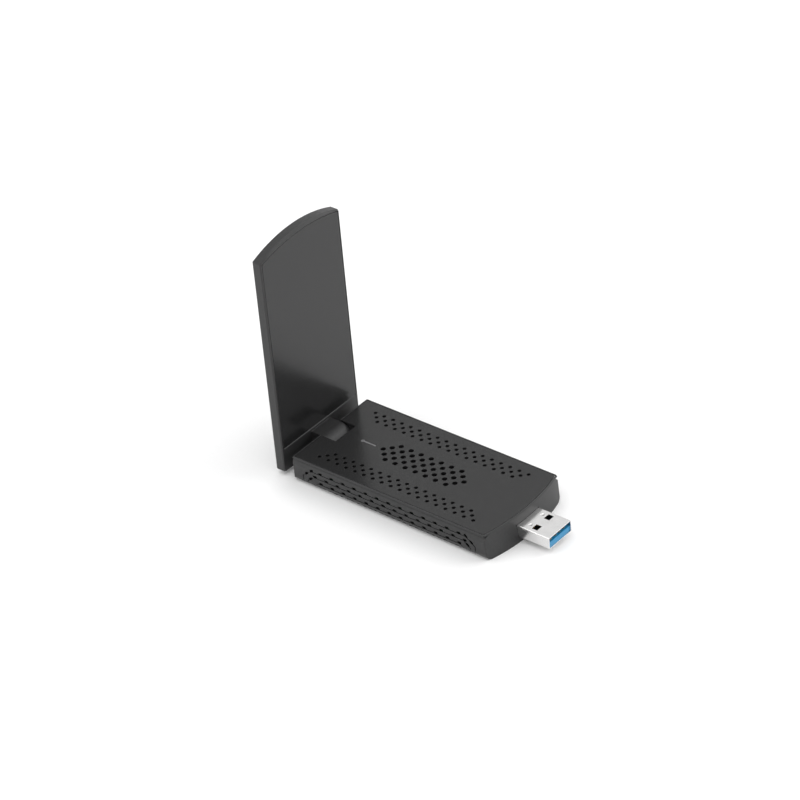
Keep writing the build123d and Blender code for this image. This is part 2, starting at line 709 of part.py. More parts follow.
right_route = [
    (right_connector[0], RIGHT_RUN_Y, AXIS_HEIGHT),
    (COAX_RIGHT_X, RIGHT_RUN_Y, AXIS_HEIGHT),
    (COAX_RIGHT_X, COAX_MEETING_Y, AXIS_HEIGHT),
]
left_route = [
    (*left_connector, AXIS_HEIGHT),
    (from_rear(13.8), left_connector[1], AXIS_HEIGHT),
    (from_rear(9.6), LEFT_RUN_Y, AXIS_HEIGHT),
    (COAX_LEFT_X, LEFT_RUN_Y, AXIS_HEIGHT),
    (COAX_LEFT_X, COAX_MEETING_Y, AXIS_HEIGHT),
]
right_cable = cable(right_route, RIGHT_RADIUS)
left_cable = cable(left_route, [3.0, 3.0, LEFT_RADIUS])

with BuildPart() as housing_coax:
    add(right_cable)
    add(left_cable)
save(housing_coax.part, "housing_coax")

connector_centres = [(x + CONNECTOR_RADIUS, y) for x, y in (right_connector, left_connector)]

with BuildPart() as coax_sockets:
    with BuildSketch(Plane.XY.offset(BOARD_TOP)):
        with Locations(*connector_centres):
            Rectangle(2.4, 2.4)
    extrude(amount=0.35)
    with BuildSketch(Plane.XY.offset(BOARD_TOP + 0.35)):
        with Locations(*connector_centres):
            Circle(0.75)
    extrude(amount=0.55)
save(coax_sockets.part, "coax_sockets")

with BuildPart() as coax_plugs:
    with BuildSketch(Plane.XY.offset(BOARD_TOP + 0.4)):
        with Locations(*connector_centres):
            Circle(CONNECTOR_RADIUS)
    extrude(amount=AXIS_HEIGHT + COAX_RADIUS + 0.25 - BOARD_TOP - 0.4)
    with BuildSketch(Plane.XY.offset(BOARD_TOP)):
        with Locations(*connector_centres):
            Circle(0.8)
    extrude(amount=1.0, mode=Mode.SUBTRACT)
    # Flat where the cable enters
    with BuildSketch(Plane.XY.offset(BOARD_TOP)):
        with Locations(*[(x + 0.1, y) for x, y in (right_connector, left_connector)]):
            Rectangle(1.0, 3.0, align=(Align.MAX, Align.CENTER))
    extrude(amount=4.0, mode=Mode.SUBTRACT)
save(coax_plugs.part, "coax_plugs")

# ---------------------------------------------------------------- hinge hardware


def on_hinge(start, end):
    """Plane square to the hinge axis at the lower of two distances, and the length between them."""
    return HINGE_PLANE.offset(min(start, end)), abs(end - start)


with BuildPart() as hinge_sleeve:
    plane, length = on_hinge(-PIN_OUTER_END, -PIN_INNER_END)
    with BuildSketch(plane):
        Circle(PIN_RADIUS)
        Circle(SLEEVE_BORE_RADIUS, mode=Mode.SUBTRACT)
    extrude(amount=length)
save(hinge_sleeve.part, "hinge_sleeve")

with BuildPart() as hinge_pin:
    plane, length = on_hinge(PIN_INNER_END, PIN_OUTER_END)
    with BuildSketch(plane):
        Circle(PIN_RADIUS)
    extrude(amount=length)
    chamfer(hinge_pin.edges(), 0.2)
save(hinge_pin.part, "hinge_pin")

WASHER_THICKNESS = 0.2
WASHER_RADIUS = 3.2
washer_start = KNUCKLE_WIDTH / 2 + 0.05

with BuildPart() as friction_washers:
    for side in (-1, 1):
        plane, length = on_hinge(side * washer_start, side * (washer_start + WASHER_THICKNESS))
        with BuildSketch(plane):
            Circle(WASHER_RADIUS)
            Circle(PIN_RADIUS + 0.03, mode=Mode.SUBTRACT)
        extrude(amount=length)
save(friction_washers.part, "friction_washers")


# ---------------------------------------------------------------- screws


def screws(name, places, head_radius, head_bottom, head_height, shank_radius, shank_end, drive_up):
    """Equal pan-head screws with a cross recess, as one group of separate solids."""
    head_top = head_bottom + head_height
    drive_face = head_top if drive_up else head_bottom
    with BuildPart() as group:
        with BuildSketch(Plane.XY.offset(head_bottom)):
            with Locations(*places):
                Circle(head_radius)
        extrude(amount=head_height)
        start = head_bottom if drive_up else head_top
        with BuildSketch(Plane.XY.offset(start)):
            with Locations(*places):
                Circle(shank_radius)
        extrude(amount=shank_end - start)
        with BuildSketch(Plane.XY.offset(drive_face)):
            with Locations(*places):
                Rectangle(1.5 * head_radius, 0.35)
                Rectangle(0.35, 1.5 * head_radius)
        extrude(amount=-0.4 if drive_up else 0.4, mode=Mode.SUBTRACT)
    save(group.part, name)


screws(
    "case_screws",
    case_screw_places,
    CASE_HEAD_RADIUS,
    0.25,
    CASE_HEAD_HEIGHT,
    CASE_SHANK_RADIUS,
    CASE_SHANK_TOP,
    drive_up=False,
)
screws(
    "board_screws",
    board_screw_places,
    BOARD_HEAD_RADIUS,
    BOARD_TOP,
    BOARD_HEAD_HEIGHT,
    BOARD_SHANK_RADIUS,
    BOARD_SHANK_BOTTOM,
    drive_up=True,
)

# ---------------------------------------------------------------- antenna panel

CHANNEL_HALF_WIDTH = 2.0
CHANNEL_HALF_HEIGHT = 1.1
CHANNEL_ROOF = 7.6  # top of the pocket in which the cables turn upward
ARM_BOTTOM = PANEL_BOTTOM + 0.2


def inset_panel(inset, bottom):
    """Panel outline drawn in by an inset from the land inside the bevel."""
    return bowed_outline(
        bottom,
        PANEL_TOP - PANEL_BEVEL_END - inset,
        PANEL_WIDTH / 2 - BEVEL_SIDE - inset,
        PANEL_SEAM_BOW,
        PANEL_CORNER,
    )


panel_outline = bowed_outline(PANEL_BOTTOM, PANEL_TOP, PANEL_WIDTH / 2, PANEL_BOW, PANEL_CORNER)
panel_land = inset_panel(0, PANEL_BOTTOM + BEVEL_SIDE)
panel_recess = inset_panel(RIM_LAND, PANEL_COVER_BOTTOM)
panel_cover_outline = inset_panel(RIM_LAND + SEAM_GAP, PANEL_COVER_BOTTOM + SEAM_GAP)
panel_cavity = inset_panel(PANEL_WALL - BEVEL_SIDE, PANEL_COVER_BOTTOM + 1)

with BuildPart() as antenna_outer_cover:
    with BuildSketch(PANEL_PLANE):
        add(panel_outline)
    extrude(amount=PANEL_THICKNESS - BEVEL_HEIGHT)
    fillet(antenna_outer_cover.faces().sort_by(Axis.X)[0].edges(), PANEL_BACK_RADIUS)
    with BuildSketch(PANEL_PLANE.offset(PANEL_THICKNESS - BEVEL_HEIGHT)):
        add(panel_outline)
    with BuildSketch(PANEL_PLANE.offset(PANEL_THICKNESS)):
        add(panel_land)
    loft(ruled=True)

    # Arm and knuckle: round below the axis, and higher with a flat top above it
    with Locations((PANEL_INNER_X - 0.5, 0, ARM_BOTTOM)):
        Box(
            AXIS_X - PANEL_INNER_X + 0.5,
            KNUCKLE_WIDTH,
            AXIS_HEIGHT - ARM_BOTTOM,
            align=(Align.MIN, Align.CENTER, Align.MIN),
        )
        Box(
            AXIS_X - CROWN_SETBACK - PANEL_INNER_X + 0.5,
            KNUCKLE_WIDTH,
            AXIS_HEIGHT + CROWN_RADIUS - ARM_BOTTOM,
            align=(Align.MIN, Align.CENTER, Align.MIN),
        )
    with BuildSketch(HINGE_PLANE):
        with Locations((-CROWN_SETBACK, 0)):
            Circle(CROWN_RADIUS)
            Rectangle(
                2 * CROWN_RADIUS,
                CROWN_RADIUS,
                align=(Align.CENTER, Align.MIN),
                mode=Mode.SUBTRACT,
            )
        Circle(KNUCKLE_RADIUS)
    extrude(amount=KNUCKLE_WIDTH / 2, both=True)

    # Recess for the inner cover, and the cavity behind it
    with BuildSketch(PANEL_PLANE.offset(PANEL_THICKNESS - PANEL_SKIN)):
        add(panel_recess)
    extrude(amount=PANEL_SKIN, mode=Mode.SUBTRACT)
    with BuildSketch(PANEL_PLANE.offset(PANEL_SKIN)):
        add(panel_cavity)
    extrude(amount=PANEL_THICKNESS - 2 * PANEL_SKIN, mode=Mode.SUBTRACT)

    # Sloped sill below the recess
    with BuildSketch(Plane.XZ):
        with BuildLine():
            Polyline(
                (PANEL_INNER_X, PANEL_COVER_BOTTOM - SILL),
                (PANEL_INNER_X - SILL, PANEL_COVER_BOTTOM),
                (PANEL_INNER_X, PANEL_COVER_BOTTOM),
                close=True,
            )
        make_face()
    extrude(amount=PANEL_WIDTH / 2 - BEVEL_SIDE - RIM_LAND - PANEL_CORNER, both=True, mode=Mode.SUBTRACT)

    # Bore for the pins, and the cable way from the bore to the cavity
    with BuildSketch(HINGE_PLANE):
        Circle(PIN_RADIUS + RUNNING_CLEARANCE)
    extrude(amount=KNUCKLE_WIDTH, both=True, mode=Mode.SUBTRACT)
    with Locations((PANEL_FLOOR_X, 0, AXIS_HEIGHT)):
        Box(
            AXIS_X - PANEL_FLOOR_X,
            2 * CHANNEL_HALF_WIDTH,
            2 * CHANNEL_HALF_HEIGHT,
            align=(Align.MIN, Align.CENTER, Align.CENTER),
            mode=Mode.SUBTRACT,
        )
    with Locations((PANEL_FLOOR_X, 0, AXIS_HEIGHT)):
        Box(
            PANEL_INNER_X + 1 - PANEL_FLOOR_X,
            2 * CHANNEL_HALF_WIDTH,
            CHANNEL_ROOF - AXIS_HEIGHT,
            align=(Align.MIN, Align.CENTER, Align.MIN),
            mode=Mode.SUBTRACT,
        )
        Box(
            PANEL_COVER_X - PANEL_FLOOR_X,
            2 * CHANNEL_HALF_WIDTH,
            PANEL_COVER_BOTTOM + 2 - AXIS_HEIGHT,
            align=(Align.MIN, Align.CENTER, Align.MIN),
            mode=Mode.SUBTRACT,
        )
save(antenna_outer_cover.part, "antenna_outer_cover")

with BuildPart() as antenna_inner_cover:
    with BuildSketch(PANEL_PLANE.offset(PANEL_THICKNESS - PANEL_SKIN)):
        add(panel_cover_outline)
    extrude(amount=PANEL_SKIN)
    chamfer(antenna_inner_cover.faces().sort_by(Axis.X)[-1].edges(), EDGE_BREAK)
save(antenna_inner_cover.part, "antenna_inner_cover")

# ---------------------------------------------------------------- antenna board and its cables

ANTENNA_BOARD_THICKNESS = 0.7
ANTENNA_BOARD_OUTER = 0.2  # gap between the panel's skin and the board
ANTENNA_BOARD_BOTTOM = 16.0
ANTENNA_BOARD_TOP = 82.0
ANTENNA_BOARD_WIDTH = 33.0
COPPER = 0.1
COAX_PANEL_X = PANEL_COVER_X - COAX_RADIUS - 0.05
FEED_LEFT = 30.0
FEED_RIGHT = 42.0
FEED_Y = 8.0
SOLDER_SIZE = 1.4
board_plane = PANEL_PLANE.offset(PANEL_SKIN + ANTENNA_BOARD_OUTER)

with BuildPart() as antenna_board:
    with BuildSketch(board_plane):
        with Locations(((ANTENNA_BOARD_BOTTOM + ANTENNA_BOARD_TOP) / 2, 0)):
            RectangleRounded(ANTENNA_BOARD_TOP - ANTENNA_BOARD_BOTTOM, ANTENNA_BOARD_WIDTH, 1.0)
    extrude(amount=ANTENNA_BOARD_THICKNESS)
save(antenna_board.part, "antenna_board")

# Each printed radiator is a wide low-band arm and a short high-band arm on a common feed
with BuildPart() as antenna_radiators:
    with BuildSketch(board_plane):
        for side in (-1, 1):
            feed = FEED_LEFT if side > 0 else FEED_RIGHT
            with Locations((feed + 16.0, side * FEED_Y)):
                Rectangle(36.0, 2.4)
            with Locations((feed + 33.0, side * (FEED_Y + 2.0))):
                Rectangle(2.0, 6.0)
            with Locations((feed + 8.0, side * (FEED_Y + 4.0))):
                Rectangle(14.0, 2.0)
            with Locations((feed + 2.0, side * (FEED_Y + 2.0))):
                Rectangle(2.0, 6.0)
    extrude(amount=-COPPER)
save(antenna_radiators.part, "antenna_radiators")

ARM_TURN_Y = 0.5
ARM_TURN_RADIUS = 2.0
PANEL_TURN_RADIUS = 2.3


def antenna_route(offset_from_axis, side, feed):
    """Route of one cable from the sleeve through the arm and up to its feed point."""
    run_y = ARM_TURN_Y + offset_from_axis
    return [
        (AXIS_X + offset_from_axis, COAX_MEETING_Y, AXIS_HEIGHT),
        (AXIS_X + offset_from_axis, run_y, AXIS_HEIGHT),
        (COAX_PANEL_X, run_y, AXIS_HEIGHT),
        (COAX_PANEL_X, run_y, 15.0),
        (COAX_PANEL_X, side * FEED_Y, 24.0),
        (COAX_PANEL_X, side * FEED_Y, feed),
    ]


bend_radii = [ARM_TURN_RADIUS, PANEL_TURN_RADIUS, 3.5, 3.5]
near_cable = cable(antenna_route(-COAX_OFFSET, -1, FEED_LEFT), bend_radii)
far_cable = cable(antenna_route(COAX_OFFSET, 1, FEED_RIGHT), bend_radii)

with BuildPart() as antenna_coax:
    add(near_cable)
    add(far_cable)
save(antenna_coax.part, "antenna_coax")

with BuildPart() as solder_joints:
    joint_bottom = PANEL_SKIN + ANTENNA_BOARD_OUTER + ANTENNA_BOARD_THICKNESS
    with BuildSketch(PANEL_PLANE.offset(joint_bottom)):
        for side, feed in ((1, FEED_LEFT), (-1, FEED_RIGHT)):
            with Locations((feed + SOLDER_SIZE / 2, side * FEED_Y)):
                RectangleRounded(SOLDER_SIZE, SOLDER_SIZE, 0.3)
    extrude(amount=0.8)
save(solder_joints.part, "solder_joints")
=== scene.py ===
# %% [markdown]
# # A USB wi-fi adapter with a fold-up antenna
#
# The real object is a flat black housing with a metal USB plug at one end and a flat antenna panel
# on a hinge at the other. The hard parts were drawn as solids first, and they arrive here in place,
# in metres, with the middle of the housing's base at the origin. This lesson gives them their
# surfaces, adds the domed lens of the indicator as a curved sheet, and sets up a small studio.

# %% Load the solid parts
import json
import math

import bpy
import numpy as np
from mathutils import Matrix, Vector


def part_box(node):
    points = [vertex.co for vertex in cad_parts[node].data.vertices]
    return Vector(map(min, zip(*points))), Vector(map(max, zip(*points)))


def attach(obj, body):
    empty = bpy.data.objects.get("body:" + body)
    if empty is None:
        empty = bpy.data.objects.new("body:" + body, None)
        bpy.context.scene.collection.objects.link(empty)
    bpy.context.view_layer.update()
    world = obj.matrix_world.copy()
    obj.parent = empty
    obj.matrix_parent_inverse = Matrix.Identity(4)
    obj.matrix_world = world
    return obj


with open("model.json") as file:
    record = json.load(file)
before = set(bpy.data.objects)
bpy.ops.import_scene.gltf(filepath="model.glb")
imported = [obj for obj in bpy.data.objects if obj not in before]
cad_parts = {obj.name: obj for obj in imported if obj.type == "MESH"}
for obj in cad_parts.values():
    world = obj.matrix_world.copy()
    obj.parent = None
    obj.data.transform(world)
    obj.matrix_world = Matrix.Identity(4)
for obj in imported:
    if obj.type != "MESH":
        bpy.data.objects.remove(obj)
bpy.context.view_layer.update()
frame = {"nodes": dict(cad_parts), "record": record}
MM = 0.001

# %% [markdown]
# ## The camera
#
# A product this size is usually shot with a long lens from well back, which keeps its long edges
# nearly parallel. A camera can be placed by typing its position, but an azimuth, an elevation and a
# roll say how the object is seen, and they can be changed one at a time. The matrix below is built
# from those angles: its columns are the camera's right, its up, and the way back from the object.

# %% Camera from three angles
AZIMUTH = math.radians(41.84)
ELEVATION = math.radians(34.78)
ROLL = math.radians(5.36)
DISTANCE = 1.150
AIM = Vector((-6.9, -2.9, 36.4)) * MM
FIELD_OF_VIEW = math.radians(13.034)


def camera_axes(azimuth, elevation, roll):
    """Right, up and backward directions of a camera that looks at the object from those angles."""
    right = Vector((math.cos(azimuth), math.sin(azimuth), 0))
    back = Vector(
        (
            math.sin(azimuth) * math.cos(elevation),
            -math.cos(azimuth) * math.cos(elevation),
            math.sin(elevation),
        )
    )
    up = back.cross(right)
    turned_right = right * math.cos(roll) - up * math.sin(roll)
    turned_up = right * math.sin(roll) + up * math.cos(roll)
    return turned_right, turned_up, back


cam_right, cam_up, cam_back = camera_axes(AZIMUTH, ELEVATION, ROLL)
camera_data = bpy.data.cameras.new("camera")
camera_data.sensor_width = 36
camera_data.lens = camera_data.sensor_width / 2 / math.tan(FIELD_OF_VIEW / 2)
camera = bpy.data.objects.new("camera", camera_data)
camera.matrix_world = Matrix.Translation(AIM + cam_back * DISTANCE) @ Matrix(
    (cam_right, cam_up, cam_back)
).transposed().to_4x4()
scene = bpy.context.scene
scene.collection.objects.link(camera)
scene.camera = camera
print("lens in mm:", round(camera_data.lens, 1))

# %% [markdown]
# ## Surfaces from numbers
#
# Most shapes here come from two parameters. A grid of parameter values goes into a formula, whole
# arrays at a time, and out come the points of a surface. One helper turns such a grid of points into
# a mesh with four-sided faces, and closes it along either direction if it is asked to.

# %% Helper: a grid of points becomes a mesh


def grid_faces(rows, columns, wrap_columns=False):
    """Four-sided faces between neighbouring points of a grid, numbered row by row."""
    last = columns if wrap_columns else columns - 1
    row, column = np.meshgrid(np.arange(rows - 1), np.arange(last), indexing="ij")
    following = (column + 1) % columns
    first = row * columns + column
    second = row * columns + following
    third = (row + 1) * columns + following
    fourth = (row + 1) * columns + column
    return np.stack([first, second, third, fourth], axis=-1).reshape(-1, 4)


def mesh_object(name, points, faces, smooth=True):
    """An object at the origin whose mesh holds the given points, in metres."""
    mesh = bpy.data.meshes.new(name)
    mesh.from_pydata(points.reshape(-1, 3).tolist(), [], faces.tolist())
    mesh.polygons.foreach_set("use_smooth", np.full(len(mesh.polygons), smooth))
    mesh.update()
    made = bpy.data.objects.new(name, mesh)
    scene.collection.objects.link(made)
    return made


# %% [markdown]
# ## The studio
#
# The object stands on a pale sweep, a sheet of board that lies flat and then curves up behind. It is
# one profile, a straight line followed by a quarter circle and a wall, carried sideways. The light is
# a bright even room with two large soft panels, so that black plastic shows its shape through wide,
# gentle reflections and not through hard spots.

# %% Sweep for the floor and backdrop
SWEEP_FRONT = 3.0
SWEEP_BACK = 2.5
SWEEP_RADIUS = 1.0
SWEEP_WALL = 1.5
SWEEP_HALF_WIDTH = 4.0


def sweep_points(distance_count, width_count):
    """Points of the sweep: flat up to the bend, a quarter circle, then straight up."""
    bend_length = SWEEP_RADIUS * math.pi / 2
    total = SWEEP_FRONT + SWEEP_BACK + bend_length + SWEEP_WALL
    along, across = np.meshgrid(
        np.linspace(0, total, distance_count),
        np.linspace(-SWEEP_HALF_WIDTH, SWEEP_HALF_WIDTH, width_count),
        indexing="ij",
    )
    past_flat = along - SWEEP_FRONT - SWEEP_BACK
    angle = np.clip(past_flat / SWEEP_RADIUS, 0, math.pi / 2)
    up_wall = np.clip(past_flat - bend_length, 0, None)
    flat = np.minimum(along, SWEEP_FRONT + SWEEP_BACK) - SWEEP_FRONT
    depth = flat + SWEEP_RADIUS * np.sin(angle)
    height = SWEEP_RADIUS * (1 - np.cos(angle)) + up_wall
    away = -cam_back.xy.normalized()
    side = Vector((-away.y, away.x))
    return np.stack(
        [depth * away.x - across * side.x, depth * away.y - across * side.y, height], axis=-1
    )


SWEEP_ROWS = 90
SWEEP_COLUMNS = 12
sweep = mesh_object(
    "sweep", sweep_points(SWEEP_ROWS, SWEEP_COLUMNS), grid_faces(SWEEP_ROWS, SWEEP_COLUMNS)
)
print("sweep points:", len(sweep.data.vertices))

# %% [markdown]
# The room's light is a white world with one dark flag low on the left. A flag is a black cloth that
# a glossy edge can mirror, so that the edge shows as a thin dark line and not as a pale blur. Each
# soft panel is an area light turned to face the object. The large one above gives a soft shadow, the
# one behind on the right lights the far half of the bowed front, and a weak one on the left opens up
# the long side.

# %% World and soft panels
world = bpy.data.worlds.new("room")
world.use_nodes = True
room_light = world.node_tree.nodes["Background"]
room_light.inputs["Color"].default_value = (1, 1, 1, 1)
ROOM_STRENGTH = 0.92
FLAG_STRENGTH = 0.25
FLAG_EDGE = 0.86  # cosines of the angle from the flag's middle where it begins and is full
FLAG_FULL = 0.97
FLAG_DIRECTION = Vector((-0.60, -0.72, 0.40)).normalized()
look = world.node_tree.nodes.new("ShaderNodeTexCoord")
towards_flag = world.node_tree.nodes.new("ShaderNodeVectorMath")
towards_flag.operation = "DOT_PRODUCT"
towards_flag.inputs[1].default_value = FLAG_DIRECTION
world.node_tree.links.new(look.outputs["Generated"], towards_flag.inputs[0])
shade = world.node_tree.nodes.new("ShaderNodeMapRange")
shade.inputs["From Min"].default_value = FLAG_EDGE
shade.inputs["From Max"].default_value = FLAG_FULL
shade.inputs["To Min"].default_value = ROOM_STRENGTH
shade.inputs["To Max"].default_value = FLAG_STRENGTH
world.node_tree.links.new(towards_flag.outputs["Value"], shade.inputs["Value"])
world.node_tree.links.new(shade.outputs["Result"], room_light.inputs["Strength"])
scene.world = world
scene.view_settings.view_transform = "Standard"


def soft_panel(name, azimuth, elevation, distance, size, power):
    """A square area light that faces the object from the given direction."""
    data = bpy.data.lights.new(name, "AREA")
    data.size = size
    data.energy = power
    panel = bpy.data.objects.new(name, data)
    right, up, back = camera_axes(math.radians(azimuth), math.radians(elevation), 0)
    panel.matrix_world = Matrix.Translation(back * distance) @ Matrix(
        (right, up, back)
    ).transposed().to_4x4()
    scene.collection.objects.link(panel)


soft_panel("overhead_panel", azimuth=-20, elevation=70, distance=1.4, size=1.2, power=5.0)
soft_panel("right_panel", azimuth=140, elevation=30, distance=1.3, size=1.1, power=6.0)
soft_panel("left_panel", azimuth=-35, elevation=20, distance=1.3, size=0.9, power=3.2)

# %% [markdown]
# ## Effects that several finishes share
#
# A node group is a recipe with named inputs and outputs. It is built once and then placed in every
# material that needs it, each time with its own values. The first helper makes an empty recipe, and
# the second adds a node and fills in its fields.

# %% Helpers for node groups


def empty_group(name, inputs, outputs):
    """A shader node group with the given sockets, and its two end nodes."""
    group = bpy.data.node_groups.new(name, "ShaderNodeTree")
    for label, kind, value in inputs:
        socket = group.interface.new_socket(name=label, in_out="INPUT", socket_type=kind)
        if value is not None:
            socket.default_value = value
    for label, kind in outputs:
        group.interface.new_socket(name=label, in_out="OUTPUT", socket_type=kind)
    return group, group.nodes.new("NodeGroupInput"), group.nodes.new("NodeGroupOutput")


def place(tree, kind, fields=None, **inputs):
    """Add a node, set its fields, and set or connect its inputs by name."""
    node = tree.nodes.new(kind)
    for key, value in (fields or {}).items():
        setattr(node, key, value)
    for key, value in inputs.items():
        socket = node.inputs[key.replace("_", " ")]
        if isinstance(value, bpy.types.NodeSocket):
            tree.links.new(value, socket)
        else:
            socket.default_value = value
    return node


def calculate(tree, operation, first, second=0.0):
    """One step of arithmetic on numbers or sockets, giving its result socket."""
    node = tree.nodes.new("ShaderNodeMath")
    node.operation = operation
    for socket, value in zip(node.inputs, (first, second)):
        if isinstance(value, bpy.types.NodeSocket):
            tree.links.new(value, socket)
        else:
            socket.default_value = value
    return node.outputs[0]


# %% [markdown]
# Black housings are moulded against steel that was etched or spark-eroded, which leaves a skin of
# tiny rounded pits. Two sizes of noise give that skin: fine pits, and a slower unevenness that is
# only noticed as the gloss changes. Real moulded edges are never sharp, so the same group rounds the
# shading over every edge with a Bevel node, and reports where the edges are.

# %% Group: moulded skin
VECTOR = "NodeSocketVector"
NUMBER = "NodeSocketFloat"


def build_moulded_skin():
    """Pits of a textured mould, soft edges, a mask of the edges and a mask of uneven gloss."""
    group, start, end = empty_group(
        "moulded_skin",
        [
            ("Position", VECTOR, None),
            ("Pits per metre", NUMBER, 5200.0),
            ("Pit depth", NUMBER, 0.6),
            ("Edge radius", NUMBER, 0.0002),
        ],
        [("Normal", VECTOR), ("Edge", NUMBER), ("Gloss", NUMBER), ("Pits", NUMBER)],
    )
    fine = place(
        group,
        "ShaderNodeTexNoise",
        Vector=start.outputs["Position"],
        Scale=start.outputs["Pits per metre"],
        Detail=2.0,
        Roughness=0.6,
    )
    coarse_scale = calculate(group, "MULTIPLY", start.outputs["Pits per metre"], 0.28)
    coarse = place(
        group,
        "ShaderNodeTexNoise",
        Vector=start.outputs["Position"],
        Scale=coarse_scale,
        Detail=1.0,
    )
    height = calculate(group, "ADD", fine.outputs[0], coarse.outputs[0])
    rounded = place(group, "ShaderNodeBevel", {"samples": 6}, Radius=start.outputs["Edge radius"])
    bump = place(
        group,
        "ShaderNodeBump",
        Strength=start.outputs["Pit depth"],
        Distance=0.00002,
        Height=height,
        Normal=rounded.outputs["Normal"],
    )
    surface = place(group, "ShaderNodeNewGeometry")
    likeness = group.nodes.new("ShaderNodeVectorMath")
    likeness.operation = "DOT_PRODUCT"
    group.links.new(rounded.outputs["Normal"], likeness.inputs[0])
    group.links.new(surface.outputs["Normal"], likeness.inputs[1])
    edge = place(
        group,
        "ShaderNodeMapRange",
        Value=likeness.outputs["Value"],
        From_Min=0.995,
        From_Max=0.80,
    )
    cloud = place(
        group,
        "ShaderNodeTexNoise",
        Vector=start.outputs["Position"],
        Scale=140.0,
        Detail=3.0,
        Roughness=0.55,
    )
    gloss = place(
        group, "ShaderNodeMapRange", Value=cloud.outputs[0], From_Min=0.3, From_Max=0.7
    )
    group.links.new(bump.outputs["Normal"], end.inputs["Normal"])
    group.links.new(edge.outputs["Result"], end.inputs["Edge"])
    group.links.new(gloss.outputs["Result"], end.inputs["Gloss"])
    group.links.new(height, end.inputs["Pits"])
    return group


moulded_skin = build_moulded_skin()
print("group:", moulded_skin.name, [s.name for s in moulded_skin.interface.items_tree])

# %% [markdown]
# Handling leaves faint marks: a few hair-thin scuffs, and specks of dust on whatever faces up. Both
# are kept very light, because the object is new. The scuffs are narrow bands cut out of stretched
# noise, and the dust is the bright tips of fine noise where the surface looks upwards.

# %% Group: light handling


def build_handling():
    """Masks of hair-thin scuffs and of dust on upward faces."""
    group, start, end = empty_group(
        "handling", [("Position", VECTOR, None)], [("Scuffs", NUMBER), ("Dust", NUMBER)]
    )
    turned = place(
        group,
        "ShaderNodeMapping",
        Vector=start.outputs["Position"],
        Rotation=(0.4, 0.7, 0.55),
        Scale=(60.0, 1400.0, 900.0),
    )
    streaks = place(group, "ShaderNodeTexNoise", Vector=turned.outputs[0], Scale=1.0, Detail=1.0)
    patches = place(
        group, "ShaderNodeTexNoise", Vector=start.outputs["Position"], Scale=90.0, Detail=0.0
    )
    thin = place(
        group, "ShaderNodeMapRange", Value=streaks.outputs[0], From_Min=0.70, From_Max=0.78
    )
    where = place(
        group, "ShaderNodeMapRange", Value=patches.outputs[0], From_Min=0.5, From_Max=0.65
    )
    scuffs = calculate(group, "MULTIPLY", thin.outputs["Result"], where.outputs["Result"])
    specks = place(
        group, "ShaderNodeTexNoise", Vector=start.outputs["Position"], Scale=2600.0, Detail=2.0
    )
    tips = place(
        group, "ShaderNodeMapRange", Value=specks.outputs[0], From_Min=0.66, From_Max=0.80
    )
    surface = place(group, "ShaderNodeNewGeometry")
    parts = place(group, "ShaderNodeSeparateXYZ", Vector=surface.outputs["Normal"])
    upward = place(group, "ShaderNodeMapRange", Value=parts.outputs["Z"], From_Min=0.5, From_Max=1)
    dust = calculate(group, "MULTIPLY", tips.outputs["Result"], upward.outputs["Result"])
    group.links.new(scuffs, end.inputs["Scuffs"])
    group.links.new(dust, end.inputs["Dust"])
    return group


handling = build_handling()
print("group:", handling.name, [s.name for s in handling.interface.items_tree])

# %% [markdown]
# Sheet metal that was rolled or drawn carries fine lines along one direction. Noise that is squeezed
# across that direction and stretched along it gives lines of uneven length. The group also gives a
# slow cloud, for the faint blotches that plating and fingerprints leave.

# %% Group: drawn metal


def build_drawn_metal():
    """Lines along X, a slow cloud, soft edges and a mask of the edges."""
    group, start, end = empty_group(
        "drawn_metal",
        [
            ("Position", VECTOR, None),
            ("Lines per metre", NUMBER, 9000.0),
            ("Line depth", NUMBER, 0.25),
            ("Edge radius", NUMBER, 0.00008),
        ],
        [("Normal", VECTOR), ("Edge", NUMBER), ("Lines", NUMBER), ("Cloud", NUMBER)],
    )
    across = place(
        group, "ShaderNodeCombineXYZ", X=130.0, Y=start.outputs["Lines per metre"],
        Z=start.outputs["Lines per metre"],
    )
    stretched = group.nodes.new("ShaderNodeVectorMath")
    stretched.operation = "MULTIPLY"
    group.links.new(start.outputs["Position"], stretched.inputs[0])
    group.links.new(across.outputs[0], stretched.inputs[1])
    lines = place(
        group, "ShaderNodeTexNoise", Vector=stretched.outputs[0], Scale=1.0, Detail=3.0
    )
    rounded = place(group, "ShaderNodeBevel", {"samples": 6}, Radius=start.outputs["Edge radius"])
    bump = place(
        group,
        "ShaderNodeBump",
        Strength=start.outputs["Line depth"],
        Distance=0.000004,
        Height=lines.outputs[0],
        Normal=rounded.outputs["Normal"],
    )
    surface = place(group, "ShaderNodeNewGeometry")
    likeness = group.nodes.new("ShaderNodeVectorMath")
    likeness.operation = "DOT_PRODUCT"
    group.links.new(rounded.outputs["Normal"], likeness.inputs[0])
    group.links.new(surface.outputs["Normal"], likeness.inputs[1])
    edge = place(
        group, "ShaderNodeMapRange", Value=likeness.outputs["Value"], From_Min=0.99, From_Max=0.75
    )
    cloud = place(
        group, "ShaderNodeTexNoise", Vector=start.outputs["Position"], Scale=320.0, Detail=3.0
    )
    group.links.new(bump.outputs["Normal"], end.inputs["Normal"])
    group.links.new(edge.outputs["Result"], end.inputs["Edge"])
    group.links.new(lines.outputs[0], end.inputs["Lines"])
    group.links.new(cloud.outputs[0], end.inputs["Cloud"])
    return group


drawn_metal = build_drawn_metal()
print("group:", drawn_metal.name, [s.name for s in drawn_metal.interface.items_tree])

# %% [markdown]
# ## Finishes
#
# Every material starts the same way: object coordinates, one Principled shader and an output. Two
# small helpers mix colours and spread a mask over a range of roughness, because nearly every finish
# needs both.

# %% Helpers for materials


